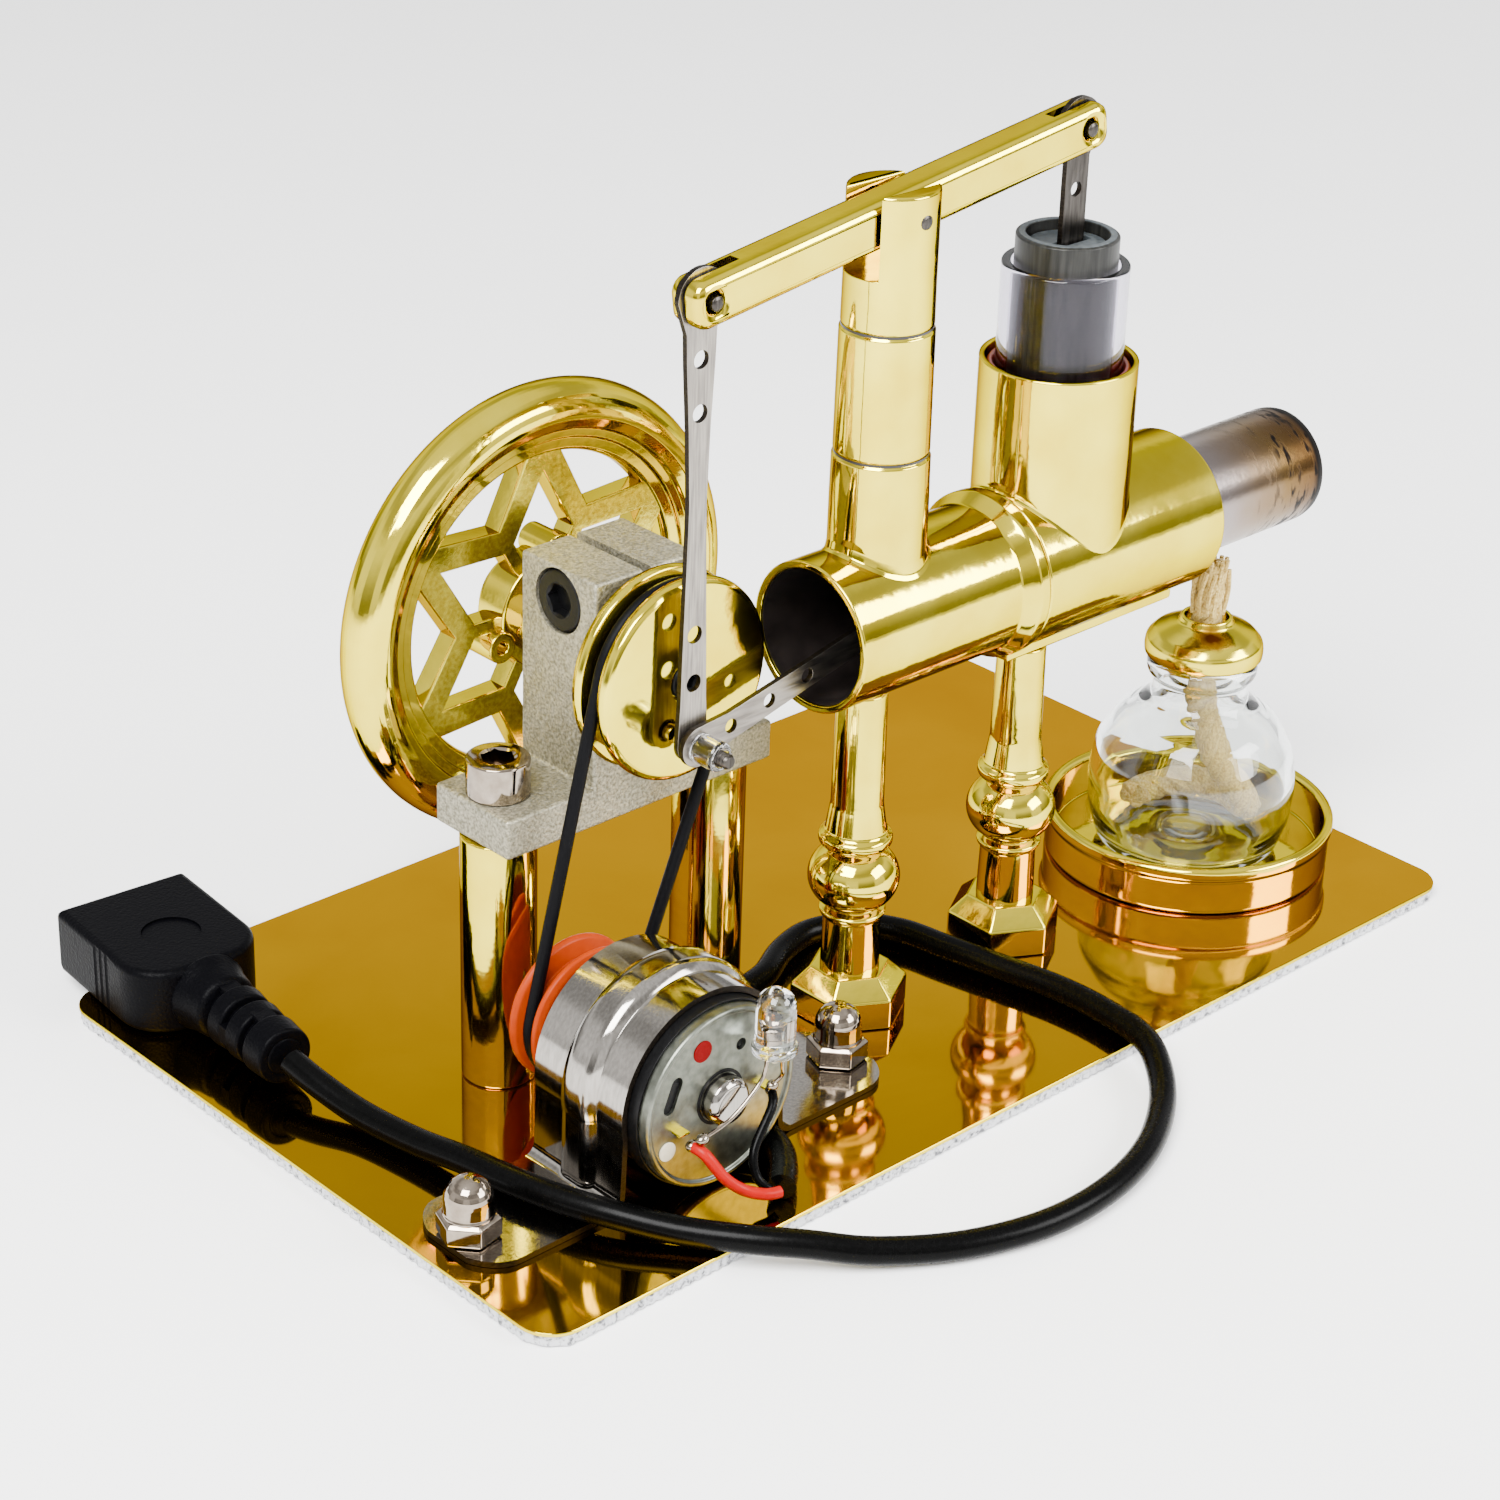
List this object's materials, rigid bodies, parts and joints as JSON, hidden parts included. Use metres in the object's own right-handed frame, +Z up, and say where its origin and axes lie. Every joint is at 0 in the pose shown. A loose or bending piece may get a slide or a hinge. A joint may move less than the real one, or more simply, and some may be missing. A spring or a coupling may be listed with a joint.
{
  "type": "model hot-air engine",
  "caption": "Desk-top beam hot-air engine: spirit burner heats a horizontal cylinder, a rocking beam turns a crank and flywheel, and a round belt drives a small generator with a lamp and socket cable.",
  "frame": {"origin": "middle of the base plate's underside, on the surface the engine stands on", "axes": "+X along the plate's long side toward the burner, +Y toward the flywheel side, +Z up"},
  "size_m": [0.17, 0.1296, 0.1205],
  "materials": {
    "base_core": "rough cut edge, pale grey",
    "base_skin": "amber gold mirror sheet",
    "leg_front": "bright gold plating",
    "leg_rear": "bright gold plating",
    "engine_front": "bright gold plating",
    "engine_rear": "bright gold plating",
    "hot_cap": "brushed stainless steel",
    "displacer_guide": "brushed stainless steel",
    "glass_cylinder": "clear glass",
    "cylinder_seal": "red-brown seal",
    "post_left": "bright gold plating",
    "post_right": "bright gold plating",
    "block_screw_left": "polished nickel plating",
    "block_screw_right": "polished nickel plating",
    "bearing_block": "sand-blasted grey cast metal",
    "clamp_screw": "black oxide",
    "bearing_front": "polished nickel plating",
    "bearing_rear": "polished nickel plating",
    "drive_belt": "black round belt",
    "generator_can": "brushed stainless steel",
    "generator_end_cap": "grey zinc plate",
    "generator_strap": "polished nickel plating",
    "strap_nut_left": "polished nickel plating",
    "strap_nut_right": "polished nickel plating",
    "led": "clear epoxy",
    "led_lead_left": "brushed stainless steel",
    "led_lead_right": "brushed stainless steel",
    "red_lead": "red insulation",
    "black_lead": "black soft PVC",
    "cable": "black soft PVC",
    "usb_housing": "black soft PVC",
    "usb_shell": "polished nickel plating",
    "usb_tongue": "white contact block",
    "usb_relief": "black soft PVC",
    "flywheel": "bright gold plating",
    "flywheel_shaft": "brushed stainless steel",
    "crank_pulley": "bright gold plating",
    "crank_screw": "black oxide",
    "generator_shaft": "polished nickel plating",
    "generator_pulley": "orange moulding",
    "beam": "bright gold plating",
    "pivot_pin": "brushed stainless steel",
    "right_pin": "brushed stainless steel",
    "left_pin": "brushed stainless steel",
    "beam_rod": "brushed stainless steel",
    "crank_pin": "polished nickel plating",
    "piston_link": "brushed stainless steel",
    "power_piston": "dark grey graphite",
    "piston_insert": "lighter grey insert",
    "gudgeon_pin": "polished nickel plating",
    "displacer": "brushed stainless steel",
    "displacer_rod": "brushed stainless steel",
    "displacer_link": "brushed stainless steel",
    "crank_stud": "polished nickel plating",
    "crank_sleeve": "clear plastic sleeve",
    "burner_tray": "bright gold plating",
    "burner_bottle": "clear glass",
    "burner_cap": "bright gold plating",
    "burner_wick": "cream twisted cotton"
  },
  "bodies": {
    "base": {"base_core": "base_core", "base_skin": "base_skin", "leg_front": "leg_front", "leg_rear": "leg_rear", "engine_front": "engine_front", "engine_rear": "engine_rear", "hot_cap": "hot_cap", "displacer_guide": "displacer_guide", "glass_cylinder": "glass_cylinder", "cylinder_seal": "cylinder_seal", "post_left": "post_left", "post_right": "post_right", "block_screw_left": "block_screw_left", "block_screw_right": "block_screw_right", "bearing_block": "bearing_block", "clamp_screw": "clamp_screw", "bearing_front": "bearing_front", "bearing_rear": "bearing_rear", "drive_belt": "drive_belt", "generator_can": "generator_can", "generator_end_cap": "generator_end_cap", "generator_strap": "generator_strap", "strap_nut_left": "strap_nut_left", "strap_nut_right": "strap_nut_right", "led": "led", "led_lead_left": "led_lead_left", "led_lead_right": "led_lead_right", "red_lead": "red_lead", "black_lead": "black_lead", "cable": "cable", "usb_housing": "usb_housing", "usb_shell": "usb_shell", "usb_tongue": "usb_tongue", "usb_relief": "usb_relief"},
    "crank": {"flywheel": "flywheel", "flywheel_shaft": "flywheel_shaft", "crank_pulley": "crank_pulley", "crank_screw": "crank_screw"},
    "generator_rotor": {"generator_shaft": "generator_shaft", "generator_pulley": "generator_pulley"},
    "rocker": {"beam": "beam", "pivot_pin": "pivot_pin", "right_pin": "right_pin"},
    "left_rivet": {"left_pin": "left_pin"},
    "rod": {"beam_rod": "beam_rod", "crank_pin": "crank_pin"},
    "connecting_link": {"piston_link": "piston_link"},
    "piston": {"power_piston": "power_piston", "piston_insert": "piston_insert", "gudgeon_pin": "gudgeon_pin"},
    "displacer_body": {"displacer": "displacer", "displacer_rod": "displacer_rod"},
    "link": {"displacer_link": "displacer_link", "crank_stud": "crank_stud", "crank_sleeve": "crank_sleeve"},
    "burner": {"burner_tray": "burner_tray", "burner_bottle": "burner_bottle", "burner_cap": "burner_cap", "burner_wick": "burner_wick"}
  },
  "joints": [
    {"name": "flywheel_spin", "type": "hinge", "parent": "base", "child": "crank", "pos_m": [-0.034, 0, 0.058], "axis": [0, 1, 0], "continuous": true},
    {"name": "generator_spin", "type": "hinge", "parent": "base", "child": "generator_rotor", "pos_m": [-0.048, 0, 0.0147], "axis": [0, 1, 0], "continuous": true},
    {"name": "beam_rock", "type": "hinge", "parent": "base", "child": "rocker", "pos_m": [-0.0048, -0.0185, 0.1128], "axis": [0, 1, 0], "range_deg": [-0.3, 26.6]},
    {"name": "left_pin_turn", "type": "hinge", "parent": "rocker", "child": "left_rivet", "pos_m": [-0.0355, -0.0185, 0.10849], "axis": [0, 1, 0], "range_deg": [-26.7, 0.4]},
    {"name": "rod_swing", "type": "hinge", "parent": "left_rivet", "child": "rod", "pos_m": [-0.0355, -0.0181, 0.10849], "axis": [0, 1, 0], "range_deg": [-8.76, 5.78]},
    {"name": "displacer_stroke", "type": "slide", "parent": "base", "child": "displacer_body", "axis": [1, 0, 0], "range_m": [-0.0057, 0.0087]},
    {"name": "link_swing", "type": "hinge", "parent": "displacer_body", "child": "link", "pos_m": [0.0015, -0.0194, 0.0595], "axis": [0, 1, 0], "range_deg": [-0.34, 21.67]},
    {"name": "piston_link_swing", "type": "hinge", "parent": "rocker", "child": "connecting_link", "pos_m": [0.02788, -0.0185, 0.11739], "axis": [0, 1, 0], "range_deg": [-26.7, 0.4]},
    {"name": "piston_stroke", "type": "slide", "parent": "base", "child": "piston", "axis": [0, 0, 1], "range_m": [-0.01522, 0.00027]},
    {"name": "burner_slide", "type": "slide", "parent": "base", "child": "burner", "axis": [0, 1, 0], "range_m": [-0.008, 0.045]}
  ],
  "couplings": [
    {"joint": "generator_spin", "follows": "flywheel_spin", "ratio": 1.3952},
    {"joint": "left_pin_turn", "follows": "beam_rock", "ratio": -1},
    {"joint": "rod_swing", "follows": "displacer_stroke", "rad_per_m": -17.383},
    {"joint": "link_swing", "follows": "beam_rock", "ratio": 0.811},
    {"joint": "piston_link_swing", "follows": "beam_rock", "ratio": -1},
    {"joint": "piston_stroke", "follows": "beam_rock", "m_per_rad": -0.032565}
  ]
}
